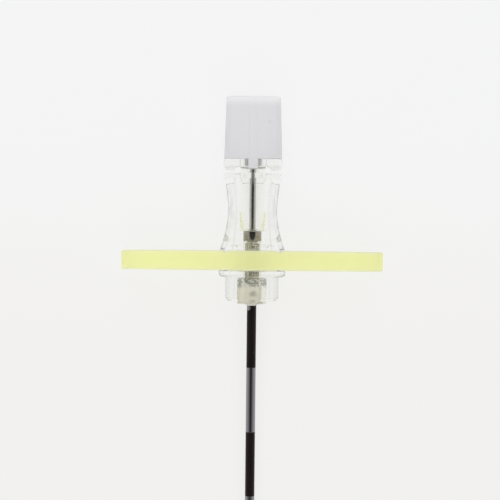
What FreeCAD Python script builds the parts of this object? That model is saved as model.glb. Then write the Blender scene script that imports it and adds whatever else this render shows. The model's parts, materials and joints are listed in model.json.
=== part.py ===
"""Winged epidural needle: a steel cannula with a curved Huber point in a clear hub, its clip-on wing and its stylet.

Every piece is drawn along the needle's own axis: +Z towards the cap, -Y towards the side that the point opens to,
and zero at the hub's lower face, where the cannula leaves it. One placement then lays the whole needle down as it
comes to rest, on the wing's edge and the cannula's point, with the cap towards +Y. All sizes are in millimetres.
"""

import FreeCAD
import Part
import os
import re
import sys
import Sketcher

# Driving dimensions: name, value, meaning
SIZES = [
    ("cannula_r", 0.715, "outer radius of the cannula, 17 gauge"),
    ("bore_r", 0.55, "inner radius of the cannula"),
    ("reach", 80, "cannula length from the hub's face to the nose of the point"),
    ("bend_r", 8, "radius of the Huber bend, on the cannula's axis"),
    ("nose_angle", 24, "turn of the bend at the nose of the point"),
    ("bevel_angle", 14, "slope of the ground opening to the axis"),
    ("bend_spare", 16, "turn of the bend past the nose that the grinding removes"),
    ("stylet_r", 0.5, "radius of the stylet wire"),
    ("stylet_flush", 0.02, "depth of the stylet's ground end under the opening"),
    ("bush_r", 0.92, "outer radius of the guide bush, and of the hole that holds it"),
    ("bush_mouth_r", 0.78, "radius of the bush's countersunk mouth"),
    ("bush_floor", 9.15, "height of the bush's lower face"),
    ("bush_len", 1.83, "length of the guide bush"),
    ("bush_seat", 1.15, "length of cannula inside the bush"),
    ("face_r", 2.28, "radius of the raised ring on the hub's lower face"),
    ("face_step", 0.3, "height of the raised ring"),
    ("seat_r", 4.16, "radius of the cylinder that the needle's sheath grips"),
    ("seat_lead", 0.35, "chamfer that leads the sheath on"),
    ("seat_dish", 0.15, "fall of the lower face from its edge to the ring"),
    ("seat_top", 4.15, "height of the top of the sheath's cylinder"),
    ("skirt_r", 5.22, "radius of the ring under the wing"),
    ("skirt_lead", 0.4, "chamfer of the skirt's lower edge"),
    ("slot_floor", 5.17, "height of the wing slot's lower face"),
    ("slot_len", 3.16, "height of the wing slot"),
    ("slot_neck_r", 2.5, "radius of the hub's neck inside the wing slot"),
    ("rib_x", 4.15, "distance of the keying ribs from the axis"),
    ("rib_w", 0.8, "width of a keying rib at its root"),
    ("rib_height", 0.24, "height of a keying rib"),
    ("bell_r", 5.1, "radius of the bell above the wing slot"),
    ("waist_r", 3.83, "radius of the hub's finger waist"),
    ("waist_level", 14.5, "height of the waist"),
    ("shoulder_r", 4.35, "radius of the hub under its top plate"),
    ("shoulder_level", 19.3, "height of the top plate's underside"),
    ("plate_w", 8.92, "width across the flats of the top plate and the flange"),
    ("plate_t", 0.8, "thickness of the top plate"),
    ("plate_round", 1, "corner radius of the top plate and the flange"),
    ("collar_r", 2.9, "radius of the neck between the plate and the flange"),
    ("collar_len", 1.05, "length of that neck"),
    ("flange_t", 1.05, "thickness of the flange at the socket's mouth"),
    ("luer_r", 2.15, "mouth radius of the 6% conical socket"),
    ("luer_taper", 0.06, "taper of the socket on its diameter"),
    ("luer_depth", 7.5, "depth of the conical socket"),
    ("funnel_r", 1.45, "radius at the lower end of the funnel"),
    ("funnel_len", 3.1, "length of the funnel that guides a catheter"),
    ("well_r", 1.46, "radius of the adhesive well"),
    ("well_depth", 4, "depth of the adhesive well"),
    ("well_cone", 0.5, "height of the well's conical roof"),
    ("meniscus", 0.3, "length of the adhesive fillet down the cannula"),
    ("bush_gap", 0.25, "height of the dry gap between the adhesive and the bush"),
    ("key_w", 1.42, "width of the cap's keying tongue"),
    ("key_drop", 1.5, "length of the tongue below the cap"),
    ("key_gap", 0.05, "clearance of the tongue in the flange's notch"),
    ("seat_gap", 0.05, "gap between the cap and the flange"),
    ("cap_base_w", 8.84, "width of the stylet cap at its base"),
    ("cap_top_w", 8.3, "width of the stylet cap at its top"),
    ("cap_len", 9.57, "height of the stylet cap"),
    ("cap_round", 1, "corner radius of the stylet cap"),
    ("cap_edge", 0.3, "rounding of the cap's top edge"),
    ("cap_wall", 1.2, "wall of the cored cap"),
    ("cap_core_len", 7, "depth of the cap's coring"),
    ("post_r", 2.6, "radius of the post that holds the wire"),
    ("plug_r", 2.03, "root radius of the plug in the socket"),
    ("plug_len", 1.15, "length of the plug"),
    ("line_w", 1.28, "width of the raised orientation line on the cap"),
    ("line_rise", 0.1, "height of the orientation line"),
    ("wire_hold", 6.8, "length of wire held in the cap's post"),
    ("wing_span", 39.75, "length of the wing from tip to tip"),
    ("wing_depth", 11, "front-to-back width of the wing"),
    ("wing_t", 3.06, "thickness of the wing at the hub"),
    ("wing_tip_t", 2.94, "thickness of the wing at its tips"),
    ("wing_root", 5.3, "distance from the axis at which the wing starts to thin"),
    ("wing_corner", 1.2, "corner radius of the wing's tips"),
    ("wing_edge", 0.3, "chamfer round the wing's edges"),
    ("wing_gap", 0.05, "clearance of the wing's slot round the neck"),
    ("groove_w", 1, "width of the wing's keying grooves"),
    ("groove_depth", 0.3, "depth of the wing's keying grooves"),
]

# Levels and places that follow from the driving dimensions
LEVELS = [
    ("bush_top", "bush_floor + bush_len"),
    ("cannula_top", "bush_floor + bush_seat"),
    ("slot_top", "slot_floor + slot_len"),
    ("plate_top", "shoulder_level + plate_t"),
    ("flange_floor", "plate_top + collar_len"),
    ("flange_top", "flange_floor + flange_t"),
    ("luer_end_r", "luer_r - luer_depth * luer_taper / 2"),
    ("luer_floor", "flange_top - luer_depth"),
    ("funnel_floor", "luer_floor - funnel_len"),
    ("cap_floor", "flange_top + seat_gap"),
    ("cap_top", "cap_floor + cap_len"),
    ("plug_end_r", "plug_r - plug_len * luer_taper / 2"),
    ("wire_top", "cap_floor + wire_hold"),
    ("wing_level", "slot_floor + slot_len / 2"),
    ("nose_y", "(bend_r + cannula_r) * cos(nose_angle * 1 deg) - bend_r"),
    ("bend_level", "(bend_r + cannula_r) * sin(nose_angle * 1 deg) - reach"),
    ("rest_arm", "bend_r + wing_depth / 2"),
    ("rest_base", "wing_level - wing_t / 2 + wing_edge - bend_level"),
    ("rest_tilt", "(acos((bend_r + cannula_r) / sqrt(rest_arm ^ 2 + rest_base ^ 2))"
                  " - atan2(rest_base; rest_arm)) / 1 deg"),
    ("rest_y", "((reach - cap_top) * cos(rest_tilt * 1 deg)"
               " - (nose_y + cap_top_w / 2) * sin(rest_tilt * 1 deg)) / 2"),
    ("rest_z", "bend_r + cannula_r - bend_r * cos(rest_tilt * 1 deg)"
               " - bend_level * sin(rest_tilt * 1 deg)"),
]

OWNERS = {name: "Sizes." for name, _, _ in SIZES}
OWNERS.update({name: "Levels." for name, _ in LEVELS})

FAR_OUT = 20  # how far a cutting outline reaches past the piece that it cuts

doc = FreeCAD.newDocument("EpiduralNeedle")


def full(expression):
    """The expression with each size and level led by the object that holds it."""
    return re.sub(r"[a-z]\w*", lambda word: OWNERS.get(word.group(0), "") + word.group(0), expression)


def value(expression):
    """The expression's value as a plain number."""
    found = doc.getObject("Sizes").evalExpression(full(expression))
    return float(getattr(found, "Value", found))


def make_sheet():
    """The spreadsheet of driving dimensions, and the levels that are worked out from it."""
    sheet = doc.addObject("Spreadsheet::Sheet", "Sizes")
    for row, (name, number, meaning) in enumerate(SIZES, start=1):
        sheet.set(f"A{row}", str(number))
        sheet.setAlias(f"A{row}", name)
        sheet.set(f"B{row}", meaning)
    doc.recompute()
    levels = doc.addObject("App::VarSet", "Levels")
    for name, expression in LEVELS:
        levels.addProperty("App::PropertyFloat", name)
        levels.setExpression(name, full(expression))
        doc.recompute()


def make_body(label):
    """An empty body that lies as the needle lies at rest."""
    body = doc.addObject("PartDesign::Body", label)
    body.Label = label
    body.setExpression("Placement.Rotation.Axis.x", "1")
    body.setExpression("Placement.Rotation.Axis.y", "0")
    body.setExpression("Placement.Rotation.Axis.z", "0")
    body.setExpression("Placement.Rotation.Angle", full("rest_tilt - 90"))
    body.setExpression("Placement.Base.y", full("rest_y"))
    body.setExpression("Placement.Base.z", full("rest_z"))
    return body


def make_sketch(body, name, plane, lift="0", shift="0"):
    """An empty sketch on one of the body's planes, lifted off it and shifted along the sketch's own upward axis."""
    sketch = body.newObject("Sketcher::SketchObject", name)
    support = next(item for item in body.Origin.OriginFeatures if item.Role == plane)
    sketch.AttachmentSupport = [(support, "")]
    sketch.MapMode = "FlatFace"
    sketch.setExpression("AttachmentOffset.Base.z", full(lift))
    sketch.setExpression("AttachmentOffset.Base.y", full(shift))
    return sketch


def hold(sketch, kind, places, expression, name):
    """One dimension of a sketch, driven by an expression."""
    index = sketch.addConstraint(Sketcher.Constraint(kind, *places, value(expression)))
    sketch.renameConstraint(index, name)
    sketch.setExpression(f"Constraints.{name}", full(expression))


def hold_point(sketch, geometry, end, corner, name):
    """Both coordinates of a point of a sketch, driven by expressions."""
    hold(sketch, "DistanceX", (-1, 1, geometry, end), corner[0], name + "_x")
    hold(sketch, "DistanceY", (-1, 1, geometry, end), corner[1], name + "_y")


def add_circle(sketch, radius, centre=("0", "0")):
    """A full circle, its radius and centre driven by expressions."""
    middle = FreeCAD.Vector(value(centre[0]), value(centre[1]), 0)
    circle = Part.Circle(middle, FreeCAD.Vector(0, 0, 1), value(radius))
    index = sketch.addGeometry(circle, False)
    hold(sketch, "Radius", (index,), radius, f"radius_{index}")
    hold_point(sketch, index, 3, centre, f"centre_{index}")


def arc_between(start, end, centre):
    """The shorter arc from start to end, and whether it runs anticlockwise from start."""
    first, last = start - centre, end - centre
    forward = first.x * last.y - first.y * last.x > 0
    middle = centre + (first + last).normalize() * first.Length
    return Part.Arc(start, middle, end), forward


def add_outline(sketch, corners, centres=None):
    """A closed outline through corners given as expressions. centres maps a side's number to its arc's centre."""
    centres = centres or {}
    points = [FreeCAD.Vector(value(x), value(y), 0) for x, y in corners]
    ends = []
    for side, start in enumerate(points):
        end = points[(side + 1) % len(points)]
        if side in centres:
            middle = FreeCAD.Vector(value(centres[side][0]), value(centres[side][1]), 0)
            arc, forward = arc_between(start, end, middle)
            index = sketch.addGeometry(arc, False)
            ends.append((index, 1, 2) if forward else (index, 2, 1))
        else:
            index = sketch.addGeometry(Part.LineSegment(start, end), False)
            ends.append((index, 1, 2))
    for side, (index, start_end, last_end) in enumerate(ends):
        following, following_start, _ = ends[(side + 1) % len(ends)]
        sketch.addConstraint(Sketcher.Constraint("Coincident", index, last_end, following, following_start))
        hold_point(sketch, index, start_end, corners[side], f"corner_{index}")
    for side, centre in centres.items():
        index = ends[side][0]
        first = points[side] - FreeCAD.Vector(value(centre[0]), value(centre[1]), 0)
        way, axis = ("DistanceX", 0) if abs(first.x) < abs(first.y) else ("DistanceY", 1)
        hold(sketch, way, (-1, 1, index, 3), centre[axis], f"middle_{index}")


def add_rounded_square(sketch, width, corner):
    """A square centred on the sketch's origin, with rounded corners."""
    half, inner = f"({width}) / 2", f"(({width}) / 2 - ({corner}))"
    corners, centres = [], {}
    for x_sign, y_sign in (("", "-"), ("", ""), ("-", ""), ("-", "-")):
        on_side = (x_sign + half, y_sign + inner)
        on_end = (x_sign + inner, y_sign + half)
        centres[len(corners)] = (x_sign + inner, y_sign + inner)
        corners += [on_side, on_end] if x_sign == y_sign else [on_end, on_side]
    add_outline(sketch, corners, centres)


def make_feature(body, kind, name, profile, **settings):
    """A feature of the body from a sketch. Text settings are expressions, and others are set as they are."""
    feature = body.newObject(f"PartDesign::{kind}", name)
    feature.Profile = profile
    for setting, given in settings.items():
        if isinstance(given, str) and setting != "Type":
            feature.setExpression(setting, full(given))
        else:
            setattr(feature, setting, given)
    profile.Visibility = False
    return feature


def revolve(body, name, corners, centres=None, kind="Revolution"):
    """Adds, or with kind Groove removes, the outline in the XZ plane turned about the needle's axis."""
    sketch = make_sketch(body, name + "Profile", "XZ_Plane")
    add_outline(sketch, corners, centres)
    return make_feature(body, kind, name, sketch, ReferenceAxis=(sketch, ["V_Axis"]), Angle="360")


def dress_edges(body, kind, name, size, test):
    """Fillets or chamfers the edges of the body so far that pass the test."""
    doc.recompute()
    base = body.Tip
    chosen = []
    for number, edge in enumerate(base.Shape.Edges, start=1):
        if test(edge, base.Shape.ancestorsOfType(edge, Part.Face)):
            chosen.append(f"Edge{number}")
    dressing = body.newObject(f"PartDesign::{kind}", name)
    dressing.Base = (base, chosen)
    dressing.setExpression("Radius" if kind == "Fillet" else "Size", full(size))
    return dressing


def level_at(edge, expression):
    """True if the edge lies wholly at that height along the needle's axis."""
    low, high = edge.BoundBox.ZMin, edge.BoundBox.ZMax
    return abs(low - value(expression)) < 1e-4 and abs(high - value(expression)) < 1e-4


def past_bevel(depth):
    """The outline, in the YZ plane, of what lies outside the point's ground face, sunk by a depth."""
    along, across = "cos(bevel_angle * 1 deg)", "sin(bevel_angle * 1 deg)"
    start_y = f"nose_y + ({depth}) * {along}"
    start_z = f"({depth}) * {across} - reach"
    return [
        (f"{start_y} + {FAR_OUT} * {across}", f"{start_z} - {FAR_OUT} * {along}"),
        (f"{start_y} - {FAR_OUT} * {across}", f"{start_z} + {FAR_OUT} * {along}"),
        (f"-{FAR_OUT}", f"{start_z} + {FAR_OUT} * {along}"),
        (f"-{FAR_OUT}", f"{start_z} - {FAR_OUT} * {along}"),
    ]


def make_cannula():
    """A steel tube, bent towards its opening at the end and ground to the Huber point."""
    body = make_body("cannula")
    revolve(body, "StraightTube", [
        ("bore_r", "bend_level"),
        ("cannula_r", "bend_level"),
        ("cannula_r", "cannula_top"),
        ("bore_r", "cannula_top"),
    ])
    ring = make_sketch(body, "BendSection", "XY_Plane", lift="bend_level", shift="-bend_r")
    add_circle(ring, "cannula_r", ("0", "bend_r"))
    add_circle(ring, "bore_r", ("0", "bend_r"))
    make_feature(body, "Revolution", "HuberBend", ring, ReferenceAxis=(ring, ["H_Axis"]),
                 Angle="nose_angle + bend_spare", Reversed=True)
    ground = make_sketch(body, "BevelOutline", "YZ_Plane")
    add_outline(ground, past_bevel("0"))
    make_feature(body, "Pocket", "Bevel", ground, Type="ThroughAll", Midplane=True)
    return body


def make_guide_bush():
    """The steel bush round the cannula's upper end, countersunk to lead a catheter in."""
    body = make_body("guide_bush")
    revolve(body, "Bush", [
        ("cannula_r", "bush_floor"),
        ("bush_r", "bush_floor"),
        ("bush_r", "bush_top"),
        ("bush_mouth_r", "bush_top"),
        ("bore_r", "cannula_top"),
        ("cannula_r", "cannula_top"),
    ])
    return body


def make_hub():
    """The clear moulded hub: sheath seat, skirt, wing slot, bell and waist, then plate, neck and flange."""
    body = make_body("hub")
    revolve(body, "TurnedForm", [
        ("0", "0"),
        ("face_r", "0"),
        ("face_r", "face_step"),
        ("seat_r - seat_lead", "face_step + seat_dish"),
        ("seat_r", "face_step + seat_dish + seat_lead"),
        ("seat_r", "seat_top"),
        ("skirt_r - skirt_lead", "seat_top"),
        ("skirt_r", "seat_top + skirt_lead"),
        ("skirt_r", "slot_floor"),
        ("slot_neck_r", "slot_floor"),
        ("slot_neck_r", "slot_top"),
        ("bell_r", "slot_top"),
        ("waist_r", "waist_level"),
        ("shoulder_r", "shoulder_level"),
        ("collar_r", "shoulder_level"),
        ("collar_r", "flange_top"),
        ("0", "flange_top"),
    ], {
        11: waist_centre("bell_r", "slot_top"),
        12: waist_centre("shoulder_r", "shoulder_level"),
    })
    for name, floor, thickness in (("TopPlate", "shoulder_level", "plate_t"), ("Flange", "flange_floor", "flange_t")):
        square = make_sketch(body, name + "Outline", "XY_Plane", lift=floor)
        add_rounded_square(square, "plate_w", "plate_round")
        make_feature(body, "Pad", name, square, Length=thickness)
    for side in ("", "-"):
        for level, rise in (("slot_floor", "rib_height"), ("slot_top", "-rib_height")):
            add_key_rib(body, side, level, rise)
    revolve(body, "SocketAndBore", [
        ("0", "flange_top"),
        ("luer_r", "flange_top"),
        ("luer_end_r", "luer_floor"),
        ("funnel_r", "funnel_floor"),
        ("funnel_r", "bush_top"),
        ("bush_r", "bush_top"),
        ("bush_r", "well_depth"),
        ("well_r", "well_depth - well_cone"),
        ("well_r", "0"),
        ("0", "0"),
    ], kind="Groove")
    notch = make_sketch(body, "NotchOutline", "XY_Plane", lift="flange_floor")
    add_outline(notch, [
        ("-key_w / 2 - key_gap", "-plate_w"),
        ("key_w / 2 + key_gap", "-plate_w"),
        ("key_w / 2 + key_gap", "-collar_r - key_gap"),
        ("-key_w / 2 - key_gap", "-collar_r - key_gap"),
    ])
    make_feature(body, "Pocket", "KeyNotch", notch, Length="flange_t", Reversed=True)
    return body


def waist_centre(radius, level):
    """The centre of the arc that runs from that radius and level to the waist, upright at the waist."""
    rise, fall = f"(({level}) - waist_level)", f"(({radius}) - waist_r)"
    return (f"waist_r + ({rise} ^ 2 + {fall} ^ 2) / (2 * {fall})", "waist_level")


def add_key_rib(body, side, level, rise):
    """A V-shaped rib across one face of the wing slot, as long as the bell allows."""
    name = f"KeyRib{len(body.Group)}"
    sketch = make_sketch(body, name + "Profile", "XZ_Plane")
    add_outline(sketch, [
        (f"{side}rib_x - rib_w / 2", level),
        (f"{side}rib_x + rib_w / 2", level),
        (f"{side}rib_x", f"{level} + {rise}"),
    ])
    make_feature(body, "Pad", name, sketch, Length="2 * sqrt(bell_r ^ 2 - (rib_x + rib_w / 2) ^ 2)", Midplane=True)


def make_adhesive():
    """The cured adhesive round the cannula: it fills the well and most of the hole, and ends in a small fillet."""
    body = make_body("hub_adhesive")
    revolve(body, "Bead", [
        ("cannula_r", "-meniscus"),
        ("well_r", "0"),
        ("well_r", "well_depth - well_cone"),
        ("bush_r", "well_depth"),
        ("bush_r", "bush_floor - bush_gap"),
        ("cannula_r", "bush_floor - bush_gap"),
    ])
    return body


def make_wing():
    """The clip-on wing: one flat plate, thinner towards its tips, slotted from behind to slide over the hub's neck."""
    body = make_body("wing")
    front = make_sketch(body, "FrontProfile", "XZ_Plane")
    floor_side = wing_edge_line("-")
    roof_side = wing_edge_line("")
    add_outline(front, floor_side + roof_side[::-1])
    make_feature(body, "Pad", "Plate", front, Length="wing_depth", Midplane=True)
    plan = make_sketch(body, "PlanOutline", "XY_Plane", lift=f"-{FAR_OUT}")
    add_outline(plan, [
        (f"-wing_span / 2 - {FAR_OUT}", f"-wing_depth - {FAR_OUT}"),
        (f"wing_span / 2 + {FAR_OUT}", f"-wing_depth - {FAR_OUT}"),
        (f"wing_span / 2 + {FAR_OUT}", f"wing_depth + {FAR_OUT}"),
        (f"-wing_span / 2 - {FAR_OUT}", f"wing_depth + {FAR_OUT}"),
    ])
    add_wing_plan(plan)
    make_feature(body, "Pocket", "PlanTrim", plan, Length=f"{3 * FAR_OUT}", Reversed=True)
    dress_edges(body, "Chamfer", "RimEdges", "wing_edge", is_rim_edge)
    grooves = make_sketch(body, "GrooveProfile", "XZ_Plane")
    for side in ("", "-"):
        for face in ("", "-"):
            level = f"wing_level + {face}wing_t / 2"
            add_outline(grooves, [
                (f"{side}rib_x - groove_w", f"{level} + {face}groove_depth"),
                (f"{side}rib_x", f"{level} - {face}groove_depth"),
                (f"{side}rib_x + groove_w", f"{level} + {face}groove_depth"),
            ])
    make_feature(body, "Pocket", "KeyGrooves", grooves, Type="ThroughAll", Midplane=True)
    slot = make_sketch(body, "SlotOutline", "XY_Plane", lift=f"-{FAR_OUT}")
    add_outline(slot, [
        ("slot_neck_r + wing_gap", "0"),
        ("slot_neck_r + wing_gap", "wing_depth"),
        ("-slot_neck_r - wing_gap", "wing_depth"),
        ("-slot_neck_r - wing_gap", "0"),
        ("0", "-slot_neck_r - wing_gap"),
    ], {3: ("0", "0"), 4: ("0", "0")})
    make_feature(body, "Pocket", "NeckSlot", slot, Length=f"{3 * FAR_OUT}", Reversed=True)
    return body


def wing_edge_line(side):
    """The corners of the wing's lower (-) or upper edge in the front view, from one tip to the other."""
    level, tip = f"wing_level + {side}wing_t / 2", f"wing_level + {side}wing_tip_t / 2"
    return [("-wing_span / 2", tip), ("-wing_root", level), ("wing_root", level), ("wing_span / 2", tip)]


def add_wing_plan(sketch):
    """The wing seen along the needle: a long rectangle with well rounded corners."""
    end, side = "wing_span / 2", "wing_depth / 2"
    near_end, near_side = f"({end} - wing_corner)", f"({side} - wing_corner)"
    corners, centres = [], {}
    for x_sign, y_sign in (("", "-"), ("", ""), ("-", ""), ("-", "-")):
        on_end = (x_sign + end, y_sign + near_side)
        on_side = (x_sign + near_end, y_sign + side)
        centres[len(corners)] = (x_sign + near_end, y_sign + near_side)
        corners += [on_end, on_side] if x_sign == y_sign else [on_side, on_end]
    add_outline(sketch, corners, centres)


def is_rim_edge(edge, faces):
    """True for an edge where one of the wing's flat faces meets its rim."""
    return len([face for face in faces if abs(face.normalAt(0, 0).z) > 0.99]) == 1


def make_stylet_wire():
    """The solid wire that fills the bore, ground at its end to lie in the cannula's opening."""
    body = make_body("stylet_wire")
    revolve(body, "Wire", [
        ("0", "-reach"),
        ("stylet_r", "-reach"),
        ("stylet_r", "wire_top"),
        ("0", "wire_top"),
    ])
    top = make_sketch(body, "OpeningOutline", "YZ_Plane")
    add_outline(top, past_bevel("stylet_flush"))
    make_feature(body, "Pocket", "OpeningGrind", top, Type="ThroughAll", Midplane=True)
    heel = "(bend_r + stylet_r)"
    under = make_sketch(body, "HeelOutline", "YZ_Plane")
    add_outline(under, [
        ("stylet_r", "bend_level"),
        (f"{heel} * cos(nose_angle * 1 deg) - bend_r", f"bend_level - {heel} * sin(nose_angle * 1 deg)"),
        (f"{heel} * cos(nose_angle * 1 deg) - bend_r", f"-reach - {FAR_OUT}"),
        (f"{FAR_OUT}", f"-reach - {FAR_OUT}"),
        (f"{FAR_OUT}", "bend_level"),
    ])
    make_feature(body, "Pocket", "HeelGrind", under, Type="ThroughAll", Midplane=True)
    return body


def make_stylet_cap():
    """The white cap on the wire: a tapered block cored from below, with its plug, post and keying tongue."""
    body = make_body("stylet_cap")
    base = make_sketch(body, "BaseOutline", "XY_Plane", lift="cap_floor")
    add_rounded_square(base, "cap_base_w", "cap_round")
    make_feature(body, "Pad", "TaperedBlock", base, Length="cap_len",
                 TaperAngle="atan2((cap_top_w - cap_base_w) / 2; cap_len)")
    dress_edges(body, "Fillet", "TopEdge", "cap_edge", lambda edge, faces: level_at(edge, "cap_top"))
    core = make_sketch(body, "CoreOutline", "XY_Plane", lift="cap_floor")
    add_rounded_square(core, "cap_base_w - 2 * cap_wall", "cap_round / 2")
    add_circle(core, "post_r")
    make_feature(body, "Pocket", "Coring", core, Length="cap_core_len", Reversed=True)
    revolve(body, "Plug", [
        ("0", "cap_floor - plug_len"),
        ("plug_end_r", "cap_floor - plug_len"),
        ("plug_r", "cap_floor"),
        ("0", "cap_floor"),
    ])
    tongue = make_sketch(body, "TongueOutline", "XY_Plane", lift="cap_floor - key_drop")
    add_outline(tongue, [
        ("-key_w / 2", "-cap_base_w / 2"),
        ("key_w / 2", "-cap_base_w / 2"),
        ("key_w / 2", "cap_wall - cap_base_w / 2"),
        ("-key_w / 2", "cap_wall - cap_base_w / 2"),
    ])
    make_feature(body, "Pad", "KeyTongue", tongue, Length="key_drop")
    line = make_sketch(body, "LineProfile", "YZ_Plane")
    add_outline(line, [
        ("-cap_base_w / 2 - line_rise", "cap_floor"),
        ("-cap_base_w / 2 + cap_wall / 2", "cap_floor"),
        ("-cap_top_w / 2 + cap_wall / 2", "cap_top - cap_edge"),
        ("-cap_top_w / 2 - line_rise", "cap_top - cap_edge"),
    ])
    make_feature(body, "Pad", "OrientationLine", line, Length="line_w", Midplane=True)
    revolve(body, "WireHole", [
        ("0", "cap_floor - plug_len"),
        ("stylet_r", "cap_floor - plug_len"),
        ("stylet_r", "wire_top"),
        ("0", "wire_top"),
    ], kind="Groove")
    return body


def check(pieces):
    """Stops if any object failed, or if a piece isn't one valid closed solid."""
    for item in doc.Objects:
        if {"Invalid", "Error"} & set(item.State):
            sys.exit(f"{item.Label} failed: {item.State}")
    for piece in pieces:
        shape = piece.Shape
        if shape.isNull() or not shape.isValid() or len(shape.Solids) != 1 or shape.Volume <= 0:
            sys.exit(f"{piece.Label} is not one valid solid")


def export(pieces):
    """Writes each piece to its own file, as solids alone."""
    os.makedirs("parts", exist_ok=True)
    for piece in pieces:
        solid = piece.Shape.Solids[0]
        solid.exportStep(f"parts/{piece.Label}.step")
        print(f"{piece.Label}: {solid.Volume:.2f} mm3, {len(solid.Faces)} faces")


make_sheet()
makers = (make_cannula, make_guide_bush, make_hub, make_adhesive, make_wing, make_stylet_wire, make_stylet_cap)
bodies = [maker() for maker in makers]
doc.recompute()
check(bodies)
export(bodies)
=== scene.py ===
import json
import math

import bpy
from mathutils import Matrix, Vector


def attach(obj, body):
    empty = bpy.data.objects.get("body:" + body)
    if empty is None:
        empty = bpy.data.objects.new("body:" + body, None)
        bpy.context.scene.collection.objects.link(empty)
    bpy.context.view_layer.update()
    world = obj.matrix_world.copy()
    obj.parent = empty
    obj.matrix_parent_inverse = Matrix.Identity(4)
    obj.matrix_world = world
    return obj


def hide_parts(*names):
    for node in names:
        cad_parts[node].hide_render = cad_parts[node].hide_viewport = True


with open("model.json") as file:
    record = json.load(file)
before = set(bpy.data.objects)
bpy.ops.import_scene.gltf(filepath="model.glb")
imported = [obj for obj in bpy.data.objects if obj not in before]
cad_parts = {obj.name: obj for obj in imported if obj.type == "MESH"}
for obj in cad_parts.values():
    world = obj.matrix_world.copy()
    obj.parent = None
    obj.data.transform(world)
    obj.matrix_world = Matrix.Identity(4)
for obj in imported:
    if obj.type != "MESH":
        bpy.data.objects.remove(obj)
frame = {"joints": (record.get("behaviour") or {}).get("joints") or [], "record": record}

bl_info = {
    "name": "Epidural Needle",
    "version": (1, 0, 0),
    "blender": (4, 5, 0),
    "location": "View3D > Sidebar > Needle",
    "description": "Builds and finishes a winged epidural needle with its stylet, lying on a pale table",
    "category": "Object",
}

# Pieces are shaped upright about the needle's axis, in millimetres: +Z towards the cap, -Y towards the side that
# the point opens to, zero at the hub's lower face. RESTING then lays them down where the needle rests.
JOINTS = {joint["name"]: joint for joint in frame["joints"]}
MOUNTS = {mount["name"]: mount for mount in frame["record"]["mounts"]}
CAPWARD = Vector(JOINTS["stylet_slide"]["axis"]).normalized()
FACING = Vector(JOINTS["wing_slide"]["axis"]).normalized()
SOCKET_LEVEL = 22.2
FACE_CENTRE = Vector(MOUNTS["luer_socket"]["pos_m"]) - CAPWARD * SOCKET_LEVEL / 1000
TURN = Matrix((CAPWARD.cross(FACING), FACING * -1, CAPWARD)).transposed()
RESTING = Matrix.Translation(FACE_CENTRE) @ TURN.to_4x4() @ Matrix.Scale(0.001, 4)

# Sizes that no panel changes, in millimetres
SLOT_FLOOR, SLOT_TOP = 5.17, 8.33  # the two faces of the wing's slot in the hub
PLATE_LEVELS = ((19.3, 20.1), (21.15, SOCKET_LEVEL))  # the square plate, and the flange at the socket's mouth
KEY_PLACE = 4.15  # distance of the keying ribs and grooves from the axis
RIB_HALF, RIB_HEIGHT = 0.4, 0.24
GROOVE_HALF, GROOVE_DEPTH = 1, 0.3
NOTCH_HALF, TONGUE_HALF, TONGUE_DROP = 0.76, 0.71, 1.5
CLEARANCE = 0.05  # between pieces that slide on one another
BUSH_MOUTH, BUSH_GAP = 0.78, 0.25  # countersink of the bush, and the dry gap under it
WING_ROOT, WING_EDGE = 5.3, 0.3  # where the wing starts to thin, and the rounding of its edges
CAP_WALL, CORE_DEPTH = 1.2, 7
POST, PLUG, PLUG_END, PLUG_LENGTH = 2.6, 2.03, 1.9955, 1.15
LINE_HALF, LINE_RISE = 0.64, 0.1  # the raised orientation line on the cap
STYLET_SUNK = 0.02  # depth of the stylet's ground end under the opening
SMOOTH_BELOW = 30  # degrees between faces that are shaded as one


def length(name, default, description):
    """A length property, its default given in millimetres."""
    return bpy.props.FloatProperty(name=name, description=description, default=default / 1000, min=0,
                                   unit="LENGTH", precision=5)


def colour(name, default, description):
    """A colour property in linear light."""
    return bpy.props.FloatVectorProperty(name=name, description=description, default=default, min=0, max=1,
                                         subtype="COLOR", size=3)


class NeedleShaft(bpy.types.PropertyGroup):
    outer_radius: length("Outer radius", 0.735, "Outer radius of the cannula")
    bore_radius: length("Bore radius", 0.55, "Radius of the cannula's bore")
    reach: length("Reach", 80, "Length from the hub's face to the nose of the point")
    upper_end: length("Upper end", 10.3, "Height of the cannula's end inside the bush")
    bend_radius: length("Bend radius", 8, "Radius of the bend behind the point")
    nose_turn: bpy.props.FloatProperty(name="Nose turn", description="Turn of the bend at the nose", unit="ROTATION",
                                       default=math.radians(24))
    bevel: bpy.props.FloatProperty(name="Bevel", description="Slope of the ground opening", unit="ROTATION",
                                   default=math.radians(14))
    stylet_radius: length("Stylet radius", 0.5, "Radius of the stylet's wire")
    stylet_top: length("Stylet top", 29.05, "Height of the wire's end inside the cap")
    band: length("Band", 10, "Length of one graduation band")
    black: colour("Black bands", (0.0055, 0.0036, 0.0032), "Colour of the blackened bands")
    steel: colour("Bare steel", (0.33, 0.33, 0.345), "Colour of the bare steel")
    bush_radius: length("Bush radius", 0.92, "Outer radius of the guide bush")
    bush_floor: length("Bush floor", 9.15, "Height of the bush's lower face")
    bush_top: length("Bush top", 10.98, "Height of the bush's upper face")


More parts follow.
